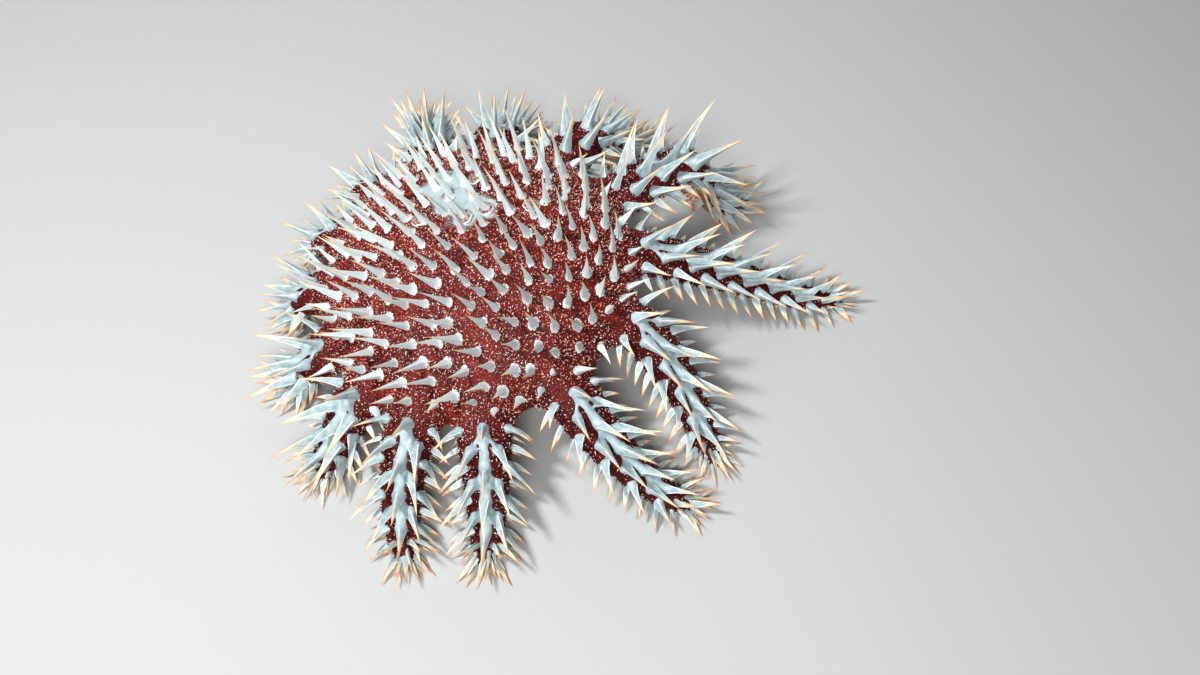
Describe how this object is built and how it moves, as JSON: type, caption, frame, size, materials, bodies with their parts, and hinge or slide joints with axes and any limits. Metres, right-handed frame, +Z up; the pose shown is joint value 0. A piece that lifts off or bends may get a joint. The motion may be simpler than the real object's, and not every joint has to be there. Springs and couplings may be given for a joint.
{
  "type": "crown of thorns starfish",
  "caption": "Life-size crown of thorns starfish with a humped disc, many arms bent down to the floor, and long spines all over its back.",
  "frame": {"origin": "on the floor, under the middle of the bounding box", "axes": "+Z up, +X towards the long stretched arm, -Y towards the front, where two arms hang side by side"},
  "size_m": [0.4073, 0.3732, 0.123],
  "materials": {
    "skin": "moist rough skin, crimson to maroon with pale blue-grey backs on the arms",
    "spines": "thin skin over lime spines, blue-grey at the foot and orange at the tip",
    "papulae": "soft gill fingers",
    "pedicellariae": "small pale lime jaws",
    "sieve_plates": "pale grooved lime plates",
    "tube_feet": "soft moist amber suckers",
    "mouth": "soft moist membrane"
  },
  "bodies": {
    "root": {"disc": "skin", "arm_01_base": "skin", "arm_01_tip": "skin", "arm_02_base": "skin", "arm_02_tip": "skin", "arm_03_base": "skin", "arm_03_tip": "skin", "arm_04_base": "skin", "arm_04_tip": "skin", "arm_05_base": "skin", "arm_05_tip": "skin", "arm_06_base": "skin", "arm_06_tip": "skin", "arm_07_base": "skin", "arm_07_tip": "skin", "arm_08_base": "skin", "arm_08_tip": "skin", "arm_09_base": "skin", "arm_09_tip": "skin", "arm_10_base": "skin", "arm_10_tip": "skin", "arm_11_base": "skin", "arm_11_tip": "skin", "arm_12_base": "skin", "arm_12_tip": "skin", "arm_13_base": "skin", "arm_13_tip": "skin", "arm_14_base": "skin", "arm_14_tip": "skin"}
  },
  "joints": []
}
